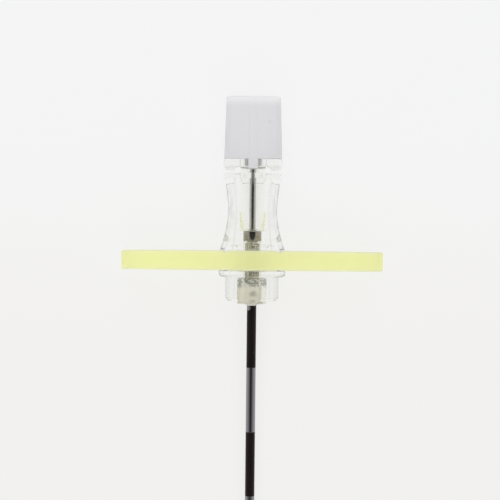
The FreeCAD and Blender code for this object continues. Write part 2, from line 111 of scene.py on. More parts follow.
class NeedleHub(bpy.types.PropertyGroup):
    seat_radius: length("Sheath seat", 4.16, "Radius of the cylinder that the sheath grips")
    skirt_radius: length("Skirt", 5.22, "Radius of the skirt under the wing")
    neck_radius: length("Wing neck", 2.5, "Radius of the neck inside the wing's slot")
    bell_radius: length("Bell", 5.1, "Radius of the bell above the wing")
    waist_radius: length("Waist", 3.85, "Radius of the finger waist")
    waist_level: length("Waist level", 14.5, "Height of the finger waist")
    plate_width: length("Plate width", 8.92, "Width of the square plate and flange")
    collar_radius: length("Collar", 2.9, "Radius of the neck between plate and flange")
    socket_radius: length("Socket", 2.15, "Mouth radius of the conical socket")
    well_radius: length("Adhesive well", 1.46, "Radius of the adhesive in the hub's foot")
    adhesive: colour("Adhesive", (1.0, 0.97, 0.86), "Colour of the cured adhesive")


class NeedleWing(bpy.types.PropertyGroup):
    span: length("Span", 39.75, "Length from tip to tip")
    depth: length("Depth", 11, "Width from front to back")
    thickness: length("Thickness", 3.06, "Thickness at the hub")
    tip_thickness: length("Tip thickness", 2.94, "Thickness at the tips")
    level: length("Level", 6.75, "Height of the wing's middle")
    corner: length("Corner", 1.2, "Corner radius of the tips")
    tint: colour("Tint", (0.975, 0.985, 0.52), "Colour of the translucent wing")


class NeedleCap(bpy.types.PropertyGroup):
    base_width: length("Base width", 8.84, "Width of the cap at the flange")
    top_width: length("Top width", 8.3, "Width of the cap at its top")
    floor: length("Floor", 22.25, "Height of the cap's lower face")
    top: length("Top", 31.82, "Height of the cap's upper face")
    white: colour("White", (0.80, 0.795, 0.81), "Colour of the cap")


class NeedleStage(bpy.types.PropertyGroup):
    distance: length("Camera distance", 155, "Distance from the camera to the needle")
    field: length("Field", 78.1, "Width that the camera sees at the needle")
    lean: bpy.props.FloatProperty(name="Lean", description="Lean of the needle in the picture", unit="ROTATION",
                                  default=math.radians(0.60))
    table: colour("Table", (0.90, 0.90, 0.905), "Colour of the table")
    key: bpy.props.FloatProperty(name="Key", description="Power of the lamp over the cap", unit="POWER", default=1.6)
    fill: bpy.props.FloatProperty(name="Fill", description="Power of each other lamp", unit="POWER", default=2.2)


def mm(given):
    """A length property in millimetres."""
    return given * 1000


# Shaping

def deselect():
    """Nothing selected, out of edit mode."""
    if bpy.context.object and bpy.context.object.mode != "OBJECT":
        bpy.ops.object.mode_set(mode="OBJECT")
    bpy.ops.object.select_all(action="DESELECT")


def edit(piece, select="DESELECT"):
    """Edit mode on one piece, with its faces, edges and points all picked or all left."""
    deselect()
    piece.select_set(True)
    bpy.context.view_layer.objects.active = piece
    bpy.ops.object.mode_set(mode="EDIT")
    bpy.ops.mesh.select_mode(type="VERT")
    bpy.ops.mesh.select_all(action=select)


def pick(piece, kind, test):
    """Picks the piece's points, edges or faces that pass the test, in edit mode."""
    bpy.ops.mesh.select_mode(type={"vertices": "VERT", "edges": "EDGE", "polygons": "FACE"}[kind])
    bpy.ops.mesh.select_all(action="DESELECT")
    bpy.ops.object.mode_set(mode="OBJECT")
    points = piece.data.vertices
    found = 0
    for item in getattr(piece.data, kind):
        corners = [item.co] if kind == "vertices" else [points[index].co for index in item.vertices]
        item.select = bool(test(corners))
        found += item.select
    bpy.ops.object.mode_set(mode="EDIT")
    if not found:
        raise RuntimeError(f"{piece.name} has nothing there to pick")


def name_new(name):
    """The piece just added, named."""
    piece = bpy.context.object
    piece.name = name
    piece.data.name = name
    return piece


def finish_modifier(piece, kind, **settings):
    """A modifier with its settings, applied."""
    deselect()
    piece.select_set(True)
    bpy.context.view_layer.objects.active = piece
    modifier = piece.modifiers.new(kind.title(), kind)
    for key, given in settings.items():
        setattr(modifier, key, given)
    bpy.ops.object.modifier_apply(modifier=modifier.name)


def combine(piece, tool, operation):
    """Joins the tool to the piece, or cuts it away, and takes the tool off the scene."""
    finish_modifier(piece, "BOOLEAN", operation=operation, object=tool, solver="EXACT")
    bpy.data.objects.remove(tool)


def rounded(corners, step=18):
    """The points of an outline of (distance from the axis, height, rounding) corners, each rounding an arc."""
    points = []
    for index, (across, level, radius) in enumerate(corners):
        here = Vector((across, level))
        if radius == 0:
            points.append(here)
            continue
        before = (Vector(corners[index - 1][:2]) - here).normalized()
        after = (Vector(corners[index + 1][:2]) - here).normalized()
        half = before.angle(after) / 2
        centre = here + (before + after).normalized() * radius / math.sin(half)
        turn = math.pi - 2 * half
        count = max(2, round(math.degrees(turn) / step))
        start = here + before * radius / math.tan(half) - centre
        way = 1 if before.x * after.y - before.y * after.x < 0 else -1
        for part in range(count + 1):
            swing = way * turn * part / count
            points.append(centre + Vector((start.x * math.cos(swing) - start.y * math.sin(swing),
                                           start.x * math.sin(swing) + start.y * math.cos(swing))))
    return points


def turned(name, outline, steps=96):
    """A turned solid: one point is drawn along the outline and spun about the needle's axis."""
    deselect()
    bpy.ops.mesh.primitive_plane_add(size=0.1, location=(0, 0, 0))
    piece = name_new(name)
    edit(piece, "SELECT")
    bpy.ops.mesh.merge(type="CENTER")
    here = Vector((0, 0))
    for point in outline:
        shift = (point[0] - here.x, 0, point[1] - here.y)
        if point is outline[0]:
            bpy.ops.transform.translate(value=shift)
        else:
            bpy.ops.mesh.extrude_vertices_move(TRANSFORM_OT_translate={"value": shift})
        here = Vector(point[:2])
    bpy.ops.mesh.select_all(action="SELECT")
    bpy.ops.mesh.spin(steps=steps, angle=math.tau, center=(0, 0, 0), axis=(0, 0, 1))
    close_up()
    return piece


def close_up():
    """Merges doubled points of the piece in edit mode and turns its faces outward."""
    bpy.ops.mesh.select_all(action="SELECT")
    bpy.ops.mesh.remove_doubles(threshold=1e-4)
    bpy.ops.mesh.dissolve_degenerate(threshold=1e-5)
    bpy.ops.mesh.select_all(action="SELECT")
    bpy.ops.mesh.normals_make_consistent(inside=False)
    bpy.ops.object.mode_set(mode="OBJECT")


def block(name, low, high):
    """A block between two corners."""
    deselect()
    low, high = Vector(low), Vector(high)
    bpy.ops.mesh.primitive_cube_add(size=1, location=(low + high) / 2, scale=high - low)
    bpy.ops.object.transform_apply(location=True, rotation=True, scale=True)
    return name_new(name)


def is_upright(corners):
    """True for an edge along the needle's axis."""
    along = corners[1] - corners[0]
    return math.hypot(along.x, along.y) < 0.2 * abs(along.z)


def round_picked(piece, kind, test, width, segments):
    """Rounds the edges that pass the test."""
    edit(piece)
    pick(piece, kind, test)
    bpy.ops.mesh.bevel(offset=width, segments=segments, profile=0.5, affect="EDGES", offset_type="OFFSET")
    bpy.ops.object.mode_set(mode="OBJECT")


def settle(piece, body, material, nodes=()):
    """Lays a finished piece down where the needle rests, smooths it, and gives it its finish and its body."""
    piece.matrix_world = RESTING
    deselect()
    piece.select_set(True)
    bpy.context.view_layer.objects.active = piece
    bpy.ops.object.transform_apply(location=True, rotation=True, scale=True)
    edit(piece, "SELECT")
    bpy.ops.mesh.normals_make_consistent(inside=False)
    bpy.ops.object.mode_set(mode="OBJECT")
    bpy.ops.object.shade_smooth_by_angle(angle=math.radians(SMOOTH_BELOW))
    finish_modifier(piece, "WEIGHTED_NORMAL", keep_sharp=True, weight=80)
    piece.data.materials.clear()
    piece.data.materials.append(material)
    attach(piece, body)
    if nodes:
        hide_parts(*nodes)


# Finishes

class Finish:
    """A material being put together from nodes, with the needle's own upright millimetres at hand."""

    def __init__(self, name):
        self.material = bpy.data.materials.new(name)
        self.material.use_nodes = True
        self.tree = self.material.node_tree
        self.tree.nodes.clear()
        self.output = self.add("OutputMaterial")
        place = self.add("TexCoord").outputs["Object"]
        spin = TURN.to_euler("XYZ")
        self.place = self.add("Mapping", {"Vector": place, "Location": FACE_CENTRE, "Rotation": spin,
                                          "Scale": (0.001, 0.001, 0.001)}, vector_type="TEXTURE").outputs[0]
        parts = self.add("SeparateXYZ", {0: self.place})
        self.across, _, self.up = parts.outputs

    def add(self, kind, inputs=None, **settings):
        """A node with its settings, each input set to a value or linked from a socket."""
        node = self.tree.nodes.new("ShaderNode" + kind)
        for key, given in settings.items():
            setattr(node, key, given)
        for key, given in (inputs or {}).items():
            if isinstance(given, bpy.types.NodeSocket):
                self.tree.links.new(given, node.inputs[key])
            else:
                node.inputs[key].default_value = given
        return node

    def sum(self, operation, *values):
        """A Math node's result."""
        return self.add("Math", dict(enumerate(values)), operation=operation).outputs[0]

    def ramp(self, value, low, high, to_low=0.0, to_high=1.0):
        """The value's smooth rise from low to high."""
        return self.add("MapRange", {"Value": value, "From Min": low, "From Max": high, "To Min": to_low,
                                     "To Max": to_high}, interpolation_type="SMOOTHSTEP").outputs[0]

    def blend(self, factor, first, second):
        """A colour between two colours."""
        return self.add("Mix", {0: factor, 6: first, 7: second}, data_type="RGBA").outputs[2]

    def mix(self, factor, first, second):
        """A shader between two shader nodes."""
        return self.add("MixShader", {0: factor, 1: first.outputs[0], 2: second.outputs[0]})

    def distance(self, spot):
        """The distance from a spot, in millimetres."""
        return self.add("VectorMath", {0: self.place, 1: spot}, operation="DISTANCE").outputs["Value"]

    def noise(self, stretch=(1, 1, 1), scale=1.0, detail=2.0, rough=0.5):
        """Noise on the needle's own millimetres."""
        place = self.add("Mapping", {"Vector": self.place, "Scale": stretch}).outputs[0]
        return self.add("TexNoise", {"Vector": place, "Scale": scale, "Detail": detail,
                                     "Roughness": rough}).outputs["Fac"]

    def bump(self, height, strength, distance):
        """A bump from a height, its depth given in millimetres."""
        return self.add("Bump", {"Height": height, "Strength": strength, "Distance": distance / 1000}).outputs[0]

    def end(self, shader):
        """The finished material."""
        self.tree.links.new(shader, self.output.inputs["Surface"])
        return self.material


def opaque(tint):
    """A colour with full alpha."""
    return (*tint, 1)


def graduated_steel(shaft):
    """Ground steel tube with graduation bands, every other one blackened, and a roughened zone inside the hub."""
    finish = Finish("graduated_steel")
    wobble = finish.noise((1, 1, 1), 3.5, 3)
    depth = finish.sum("MULTIPLY_ADD", wobble, 0.12, finish.sum("MULTIPLY_ADD", finish.up, -1, -0.06))
    wave = finish.sum("SINE", finish.sum("MULTIPLY", depth, math.pi / mm(shaft.band)))
    chips = finish.ramp(finish.noise((1, 1, 0.45), 2.6, 5, 0.65), 0.735, 0.76)
    worn = finish.sum("MULTIPLY_ADD", wobble, 0.3, finish.distance((-0.5, -0.54, -0.6)))
    chips = finish.sum("MAXIMUM", chips, finish.ramp(worn, 0.62, 0.5))
    black = finish.sum("MULTIPLY", finish.ramp(wave, -0.006, 0.012), finish.sum("SUBTRACT", 1, chips))
    streaks = finish.noise((5, 5, 0.12), 2.2, 4, 0.6)
    cloud = finish.noise((1, 1, 0.3), 1.3, 3)
    dark = finish.blend(cloud, opaque(shaft.black), opaque(c * 1.9 for c in shaft.black))
    bare = finish.blend(streaks, opaque(c * 0.82 for c in shaft.steel), opaque(shaft.steel))
    grain = finish.noise((1, 1, 1), 4.5, 3, 0.6)
    keyed = finish.sum("MULTIPLY", finish.ramp(finish.up, 0.6, 1.4), finish.ramp(finish.up, 9.3, 9.0))
    relief = finish.sum("MULTIPLY_ADD", finish.sum("MULTIPLY", grain, keyed), 2.0,
                        finish.sum("MULTIPLY", streaks, 0.12))
    rough = finish.sum("MULTIPLY_ADD", streaks, 0.12, finish.ramp(black, 0, 1, 0.12, 0.26))
    rough = finish.sum("MULTIPLY_ADD", keyed, 0.25, rough)
    blasted = finish.blend(finish.ramp(grain, 0.45, 0.62), (0.30, 0.285, 0.255, 1), (1, 0.98, 0.94, 1))
    shader = finish.add("BsdfPrincipled", {
        "Base Color": finish.blend(keyed, finish.blend(black, bare, dark), blasted),
        "Metallic": finish.ramp(black, 0, 1, 1.0, 0.0),
        "Roughness": rough,
        "Specular IOR Level": 0.18,
        "Specular Tint": (1, 0.88, 0.87, 1),
        "Normal": finish.bump(relief, 0.5, 0.03),
    })
    return finish.end(shader.outputs[0])


def turned_steel(name, tint, stretch, rough, relief=0.3):
    """Steel with fine marks, stretched round a turned piece or along a drawn one."""
    finish = Finish(name)
    marks = finish.noise(stretch, 2.0, 4, 0.6)
    shader = finish.add("BsdfPrincipled", {
        "Base Color": finish.blend(marks, opaque(c * 0.75 for c in tint), opaque(tint)),
        "Metallic": 1.0,
        "Roughness": finish.ramp(marks, 0.3, 0.7, rough - 0.05, rough + 0.07),
        "Normal": finish.bump(marks, relief, 0.01),
    })
    return finish.end(shader.outputs[0])


def clear_moulding():
    """Clear moulded plastic with painted shade: greyer towards its rims and along two thin bands that follow the view,
    for camera rays below the square plate. Lamps shine through it onto what it holds.
    """
    finish = Finish("clear_moulding")
    flow = finish.noise((0.25, 0.25, 0.06), 1.0, 2)
    facing = finish.add("LayerWeight", {"Blend": 0.5}).outputs["Facing"]
    # Painted shade: the base colour turns grey towards the rims and along two thin bands, by how squarely the surface
    # faces the viewer.
    painted_rim_shade = finish.ramp(facing, 0.60, 0.80)
    for centre, width, depth in ((0.50, 0.06, 0.5), (0.25, 0.035, 0.45)):
        off = finish.sum("ABSOLUTE", finish.sum("SUBTRACT", facing, centre))
        painted_rim_shade = finish.sum("MAXIMUM", painted_rim_shade, finish.sum("MULTIPLY", finish.ramp(off, width, 0), depth))
    path = finish.add("LightPath")
    painted_rim_shade = finish.sum("MULTIPLY", painted_rim_shade, finish.ramp(finish.up, 4, 9, 0.5, 1))
    shade = finish.sum("MULTIPLY", finish.ramp(facing, 0.10, 0.28, 0, 0.17), finish.ramp(finish.up, 10, 12))
    painted_rim_shade = finish.sum("MULTIPLY", finish.sum("MAXIMUM", painted_rim_shade, shade),
                     finish.sum("MULTIPLY", path.outputs["Is Camera Ray"], finish.ramp(finish.up, 19.0, 18.4)))
    glass = finish.add("BsdfPrincipled", {
        "Base Color": finish.blend(painted_rim_shade, (0.985, 0.99, 0.965, 1), (0.52, 0.54, 0.54, 1)),
        "Roughness": 0.0,
        "IOR": 1.56,
        "Specular IOR Level": 0.25,
        "Transmission Weight": 1.0,
        "Normal": finish.bump(flow, 0.05, 0.1),
    })
    clear = finish.add("BsdfTransparent", {"Color": (0.99, 0.99, 0.985, 1)})
    mixed = finish.mix(path.outputs["Is Shadow Ray"], glass, clear)
    return finish.end(mixed.outputs[0])


def cured_adhesive(hub):
    """Clouded adhesive with fine froth at its top, pale bubbles under that and one dark hollow near its middle."""
    finish = Finish("cured_adhesive")
    swirl = finish.noise((1, 1, 1), 1.1, 4, 0.6)
    level = finish.sum("MULTIPLY_ADD", swirl, 1.6, finish.up)
    cloudy = finish.ramp(level, 4.0, 3.3)
    spots = finish.add("TexVoronoi", {"Vector": finish.place, "Scale": 1.5, "Randomness": 1.0}).outputs["Distance"]
    bubbles = finish.sum("MULTIPLY", finish.ramp(spots, 0.34, 0.22), finish.ramp(finish.up, 1.9, 2.3))
    bubbles = finish.sum("MULTIPLY", bubbles, finish.ramp(finish.up, 4.1, 3.8))
    hollow = finish.ramp(finish.sum("MULTIPLY_ADD", swirl, 0.5, finish.distance((0.14, -1.4, 1.6))), 0.95, 0.4)
    cloudy = finish.sum("MULTIPLY", cloudy, finish.ramp(finish.across, 0.92, 0.72, 0.15))
    solid = finish.sum("MAXIMUM", finish.sum("MULTIPLY", cloudy, 0.80), finish.sum("MULTIPLY", bubbles, 0.85))
    froth = finish.sum("MULTIPLY", finish.ramp(level, 3.2, 3.8), finish.ramp(finish.up, 4.1, 3.95))
    solid = finish.sum("MAXIMUM", solid, finish.sum("MULTIPLY", froth, 0.6))
    specks = finish.ramp(finish.noise((1, 1, 1), 3.2, 3, 0.6), 0.44, 0.58)
    tint = finish.blend(hollow, opaque(hub.adhesive), (0.62, 0.57, 0.50, 1))
    tint = finish.blend(froth, tint, finish.blend(specks, (0.30, 0.30, 0.28, 1), (0.92, 0.92, 0.87, 1)))
    tint = finish.blend(bubbles, tint, (0.9, 0.9, 0.86, 1))
    body = finish.mix(0.25, finish.add("BsdfDiffuse", {"Color": tint}), finish.add("BsdfTranslucent", {"Color": tint}))
    clear = finish.add("BsdfTransparent", {"Color": (0.98, 0.98, 0.96, 1)})
    mixed = finish.mix(finish.sum("MAXIMUM", solid, 0.1), clear, body)
    return finish.end(mixed.outputs[0])


def lime_plastic(wing):
    """Translucent yellow-green plastic with a satin skin: light from behind comes through it. Its paler colour along
    the upper and lower edges is painted light.
    """
    finish = Finish("lime_plastic")
    flow = finish.noise((0.12, 0.3, 0.3), 1.0, 3)
    deeper = (wing.tint[0] * 0.97, wing.tint[1] * 0.985, wing.tint[2] * 0.85)
    tint = finish.blend(flow, opaque(wing.tint), opaque(deeper))
    # Painted light: the colour turns paler towards the wing's upper and lower edges, where the thin rims would let
    # light through.
    painted_rim_light = finish.ramp(finish.sum("ABSOLUTE", finish.sum("SUBTRACT", finish.up, mm(wing.level))), 0.85, 1.6, 0, 0.6)
    tint = finish.blend(painted_rim_light, tint, (0.97, 0.97, 0.76, 1))
    grain = finish.noise((1, 1, 1), 6, 3)
    skin = finish.bump(grain, 0.15, 0.02)
    lit = finish.add("BsdfDiffuse", {"Color": tint, "Normal": skin})
    shone = finish.add("BsdfTranslucent", {"Color": tint, "Normal": skin})
    gloss = finish.add("BsdfGlossy", {"Color": (1, 1, 1, 1), "Roughness": 0.3, "Normal": skin})
    clear = finish.add("BsdfTransparent", {"Color": (0.97, 0.985, 0.78, 1)})
    seen = finish.mix(0.15, finish.mix(0.42, lit, shone), clear)
    coated = finish.mix(finish.add("Fresnel", {"IOR": 1.45}).outputs[0], seen, gloss)
    path = finish.add("LightPath")
    through = finish.sum("MAXIMUM", path.outputs["Is Shadow Ray"], path.outputs["Is Transmission Ray"])
    pale = finish.blend(path.outputs["Is Transmission Ray"], (0.97, 0.985, 0.72, 1), (0.99, 0.995, 0.93, 1))
    passed = finish.add("BsdfTransparent", {"Color": pale})
    mixed = finish.mix(finish.sum("MULTIPLY", through, 0.75), coated, passed)
    return finish.end(mixed.outputs[0])


def white_moulding(cap):
    """Satin white plastic, a little light coming through it, with a fine moulded skin, one faint speck and a painted
    highlight that whitens it towards its top.
    """
    finish = Finish("white_moulding")
    grain = finish.noise((1, 1, 1), 4, 4, 0.6)
    flow = finish.noise((0.25, 0.25, 0.08), 1.0, 2)
    tint = finish.blend(flow, opaque(c * 0.985 for c in cap.white), opaque(cap.white))
    # Painted highlight: the colour turns pure white towards the cap's top edge.
    tint = finish.blend(finish.ramp(finish.up, 30.0, 31.8), tint, (1, 1, 1, 1))
    speck = finish.sum("MULTIPLY_ADD", grain, 0.2, finish.distance((2.45, -4.2, 27.9)))
    speck = finish.ramp(speck, 0.42, 0.2, 0, 0.3)
    skin = finish.add("BsdfPrincipled", {
        "Base Color": finish.blend(speck, tint, (0.35, 0.35, 0.42, 1)),
        "Roughness": finish.ramp(grain, 0.3, 0.7, 0.38, 0.48),
        "Normal": finish.bump(grain, 0.12, 0.02),
    })
    depth = finish.add("BsdfTranslucent", {"Color": opaque(cap.white)})
    body = finish.mix(0.4, skin, depth)
    passed = finish.add("BsdfTransparent", {"Color": (0.95, 0.95, 0.96, 1)})
    lamp = finish.sum("MULTIPLY", finish.add("LightPath").outputs["Is Shadow Ray"], 0.7)
    return finish.end(finish.mix(lamp, body, passed).outputs[0])


# Pieces

class NEEDLE_OT_cannula(bpy.types.Operator):
    """Draws the steel tube, bends its end and grinds the point's opening"""
    bl_idname = "needle.cannula"
    bl_label = "Cannula"

    def execute(self, context):
        shaft = context.scene.needle_shaft
        outer, bore = mm(shaft.outer_radius), mm(shaft.bore_radius)
        tube = self.bent_tube("cannula_tube", outer, shaft)
        core = self.bent_tube("cannula_bore", bore, shaft, spare=1)
        combine(tube, core, "DIFFERENCE")
        grind = self.ground_face(shaft)
        edit(tube, "SELECT")
        bpy.ops.mesh.bisect(plane_co=grind[0], plane_no=grind[1], clear_outer=True, use_fill=False)
        bpy.ops.mesh.select_all(action="DESELECT")
        bpy.ops.mesh.select_mode(type="EDGE")
        bpy.ops.mesh.select_non_manifold(extend=False)
        bpy.ops.mesh.bridge_edge_loops()
        close_up()
        settle(tube, "needle", graduated_steel(shaft), ["cannula"])
        return {"FINISHED"}

    def bent_tube(self, name, radius, shaft, spare=0.0):
        """A closed rod from the upper end down and round the bend, past the point's nose."""
        bend = mm(shaft.bend_radius)
        start = (bend + mm(shaft.outer_radius)) * math.sin(shaft.nose_turn) - mm(shaft.reach)
        top = mm(shaft.upper_end) + spare
        deselect()
        bpy.ops.mesh.primitive_circle_add(vertices=48, radius=radius, fill_type="NGON", location=(0, 0, top))
        rod = name_new(name)
        bpy.ops.object.transform_apply(location=True, rotation=True, scale=True)
        edit(rod, "SELECT")
        for _ in range(16):
            bpy.ops.mesh.extrude_region_move(TRANSFORM_OT_translate={"value": (0, 0, (start - top) / 16)})
        turn = shaft.nose_turn + math.radians(16 + spare)
        bpy.ops.mesh.spin(steps=24, angle=turn, center=(0, -bend, start), axis=(1, 0, 0))
        close_up()
        return rod

    def ground_face(self, shaft):
        """A point of the ground opening's plane and its outward direction."""
        bend, outer = mm(shaft.bend_radius), mm(shaft.outer_radius)
        nose = Vector((0, (bend + outer) * math.cos(shaft.nose_turn) - bend, -mm(shaft.reach)))
        return nose, Vector((0, -math.cos(shaft.bevel), -math.sin(shaft.bevel)))


class NEEDLE_OT_bush(bpy.types.Operator):
    """Turns the countersunk steel bush round the cannula's upper end"""
    bl_idname = "needle.bush"
    bl_label = "Guide bush"

    def execute(self, context):
        shaft = context.scene.needle_shaft
        radius, low, high = mm(shaft.bush_radius), mm(shaft.bush_floor), mm(shaft.bush_top)
        inner, tube, end = mm(shaft.bore_radius), mm(shaft.outer_radius), mm(shaft.upper_end)
        outline = rounded([
            (tube, low, 0), (radius, low, 0.17), (radius, high, 0.05), (BUSH_MOUTH, high, 0),
            (inner, end, 0), (tube, end, 0), (tube, low, 0),
        ])
        bush = turned("bush_ring", outline, 72)
        finish = turned_steel("turned_steel", (0.42, 0.39, 0.35), (0.2, 0.2, 6), 0.08, 0.1)
        settle(bush, "needle", finish, ["guide_bush"])
        return {"FINISHED"}


class NEEDLE_OT_hub(bpy.types.Operator):
    """Turns the clear hub, adds its square plate, flange and keying ribs, and bores it"""
    bl_idname = "needle.hub"
    bl_label = "Clear hub"

    def execute(self, context):
        sizes = context.scene.needle_hub
        shaft = context.scene.needle_shaft
        hub = turned("hub_moulding", self.outline(sizes), 128)
        for low, high in PLATE_LEVELS:
            combine(hub, self.square_plate(sizes, low, high), "UNION")
        for side in (1, -1):
            for level, way in ((SLOT_FLOOR, 1), (SLOT_TOP, -1)):
                combine(hub, self.rib(side * KEY_PLACE, level, way), "UNION")
        combine(hub, self.bore(sizes, shaft), "DIFFERENCE")
        front, back = -mm(sizes.plate_width) / 2 - 1, -mm(sizes.collar_radius) - CLEARANCE
        combine(hub, block("notch", (-NOTCH_HALF, front, 21), (NOTCH_HALF, back, 23)), "DIFFERENCE")
        settle(hub, "needle", clear_moulding(), ["hub"])
        return {"FINISHED"}

    def outline(self, sizes):
        """The turned form, from the axis at the foot round to the axis at the flange."""
        seat, skirt, neck = mm(sizes.seat_radius), mm(sizes.skirt_radius), mm(sizes.neck_radius)
        bell, waist, level = mm(sizes.bell_radius), mm(sizes.waist_radius), mm(sizes.waist_level)
        foot = rounded([
            (0, 0, 0), (2.28, 0, 0.1), (2.28, 0.3, 0), (seat - 0.35, 0.45, 0.3), (seat, 0.85, 0.35),
            (seat, 4.15, 0.1), (skirt, 4.15, 0.5), (skirt, SLOT_FLOOR, 0.1), (neck, SLOT_FLOOR, 0.08),
            (neck, SLOT_TOP, 0.08), (bell, SLOT_TOP, 0),
        ])
        collar = [(mm(sizes.collar_radius), 19.6), (mm(sizes.collar_radius), 22), (0, 22)]
        knots = [(bell, SLOT_TOP, -0.34), (4.42, 10.5, -0.24), (waist, level, 0), (4.33, 19.5, 0.085)]
        return [*foot, *self.sweep(knots), *collar]

    def sweep(self, knots, count=10):
        """A smooth curve through knots of (distance from the axis, level, slope), without its first point."""
        points = []
        for (start, low, lean), (end, high, slope) in zip(knots, knots[1:]):
            rise = high - low
            for part in range(1, count + 1):
                t = part / count
                across = ((2 * t ** 3 - 3 * t ** 2 + 1) * start + (t ** 3 - 2 * t ** 2 + t) * rise * lean
                          + (3 * t ** 2 - 2 * t ** 3) * end + (t ** 3 - t ** 2) * rise * slope)
                points.append((across, low + rise * t))
        return points

    def square_plate(self, sizes, low, high):
        """A square plate with rounded corners."""
        half = mm(sizes.plate_width) / 2
        plate = block("plate", (-half, -half, low), (half, half, high))
        round_picked(plate, "edges", is_upright, 1.0, 10)
        return plate

    def rib(self, across, level, way):
        """A V-shaped keying rib along one face of the wing's slot."""
        bell, outer_edge, sunk = 5.1, 4.55, 0.1
        half, tip = math.sqrt(bell ** 2 - outer_edge ** 2), level + RIB_HEIGHT * way
        rib = block("rib", (across - RIB_HALF, -half, level - sunk * way), (across + RIB_HALF, half, tip))
        edit(rib)
        pick(rib, "vertices", lambda corner: abs(corner[0].z - tip) < 1e-4)
        bpy.ops.transform.resize(value=(0.05, 1, 1), center_override=(across, 0, tip))
        close_up()
        return rib

    def bore(self, sizes, shaft):
        """The socket, funnel and bush seat, down to the adhesive's top. Below it the plastic meets the cannula."""
        mouth, seat = mm(sizes.socket_radius), mm(shaft.bush_radius) - 0.02
        snug, floor = mm(shaft.outer_radius) - 0.015, mm(shaft.bush_floor) - BUSH_GAP
        top = mm(shaft.bush_top) + 0.02
        outline = rounded([
            (0, 23.2, 0), (mouth + 0.03, 23.2, 0), (mouth - 0.225, 14.7, 8), (1.45, 11.6, 6), (1.45, top, 0.12),
            (seat, top, 0), (seat, floor, 0.06), (snug, floor, 0), (snug, -1, 0), (0, -1, 0),
        ])
        return turned("bore", outline, 96)


class NEEDLE_OT_adhesive(bpy.types.Operator):
    """Pours the adhesive into the hub's foot, round the cannula"""
    bl_idname = "needle.adhesive"
    bl_label = "Adhesive"

    def execute(self, context):
        sizes = context.scene.needle_hub
        tube, well = mm(context.scene.needle_shaft.outer_radius) - 0.01, mm(sizes.well_radius)
        outline = rounded([
            (tube, -0.3, 0), (tube + 0.1, -0.26, 0), (1.0, -0.1, 0.4), (well, -0.02, 0), (well, 3.92, 0.15),
            (0.92, 4, 0), (0.92, 9.2, 0), (tube, 9.2, 0), (tube, -0.3, 0),
        ])
        fill = turned("adhesive_fill", outline, 72)
        settle(fill, "needle", cured_adhesive(sizes), ["hub_adhesive"])
        return {"FINISHED"}


class NEEDLE_OT_wing(bpy.types.Operator):
    """Shapes the clip-on wing: a bar that thins to its rounded tips, with its slot and keying grooves"""
    bl_idname = "needle.wing"
    bl_label = "Wing"

    def execute(self, context):
        sizes = context.scene.needle_wing
        span, depth, level = mm(sizes.span) / 2, mm(sizes.depth) / 2, mm(sizes.level)
        half, tip = mm(sizes.thickness) / 2, mm(sizes.tip_thickness) / 2
        wing = block("wing_plate", (-span, -depth, level - half), (span, depth, level + half))
        edit(wing, "SELECT")
        for across in (-WING_ROOT, WING_ROOT):
            bpy.ops.mesh.select_all(action="SELECT")
            bpy.ops.mesh.bisect(plane_co=(across, 0, 0), plane_no=(1, 0, 0))
        pick(wing, "vertices", lambda corner: abs(corner[0].x) > span - 0.01)
        bpy.ops.transform.resize(value=(1, 1, tip / half), center_override=(0, 0, level))
        bpy.ops.object.mode_set(mode="OBJECT")
        round_picked(wing, "edges", is_upright_at(span), mm(sizes.corner), 14)
        round_picked(wing, "edges", is_rim(span, depth, mm(sizes.corner), level), WING_EDGE, 4)
        neck = mm(context.scene.needle_hub.neck_radius) + CLEARANCE
        combine(wing, self.slot(neck, depth), "DIFFERENCE")
        for side in (1, -1):
            for face in (1, -1):
                combine(wing, self.groove(side * KEY_PLACE, level + face * half, face, depth), "DIFFERENCE")
        settle(wing, "wing", lime_plastic(sizes), ["wing"])
        return {"FINISHED"}

    def slot(self, neck, depth):
        """The cutter for the slot that slides over the hub's neck from the front."""
        deselect()
        bpy.ops.mesh.primitive_cylinder_add(vertices=96, radius=neck, depth=12, location=(0, 0, 6))
        cutter = name_new("slot")
        bpy.ops.object.transform_apply(location=True, rotation=True, scale=True)
        edit(cutter)
        pick(cutter, "vertices", lambda corner: corner[0].y > 1e-3)
        bpy.ops.transform.resize(value=(1, 0, 1), center_override=(0, 0, 0))
        close_up()
        combine(cutter, block("slot_run", (-neck, -0.01, 0), (neck, depth + 1, 12)), "UNION")
        return cutter

    def groove(self, across, level, face, depth):
        """The cutter for one V-shaped keying groove."""
        root, mouth = level - GROOVE_DEPTH * face, level + GROOVE_DEPTH * face
        cutter = block("groove", (across - GROOVE_HALF, -depth - 1, root), (across + GROOVE_HALF, depth + 1, mouth))
        edit(cutter)
        pick(cutter, "vertices", lambda corner: abs(corner[0].z - root) < 1e-4)
        bpy.ops.transform.resize(value=(0.03, 1, 1), center_override=(across, 0, root))
        close_up()
        return cutter


def is_upright_at(span):
    """A test for the wing's four corner edges."""
    return lambda ends: is_upright(ends) and abs(ends[0].x) > span - 0.01


def is_rim(span, depth, corner, level):
    """A test for the edges round the wing's two flat faces."""
    def test(ends):
        if is_upright(ends) or abs(ends[0].z - level) < 1 or (ends[0].z - level) * (ends[1].z - level) < 0:
            return False
        middle = (ends[0] + ends[1]) / 2
        over = Vector((max(abs(middle.x) - (span - corner), 0), max(abs(middle.y) - (depth - corner), 0)))
        return over.length > corner - 0.05
    return test


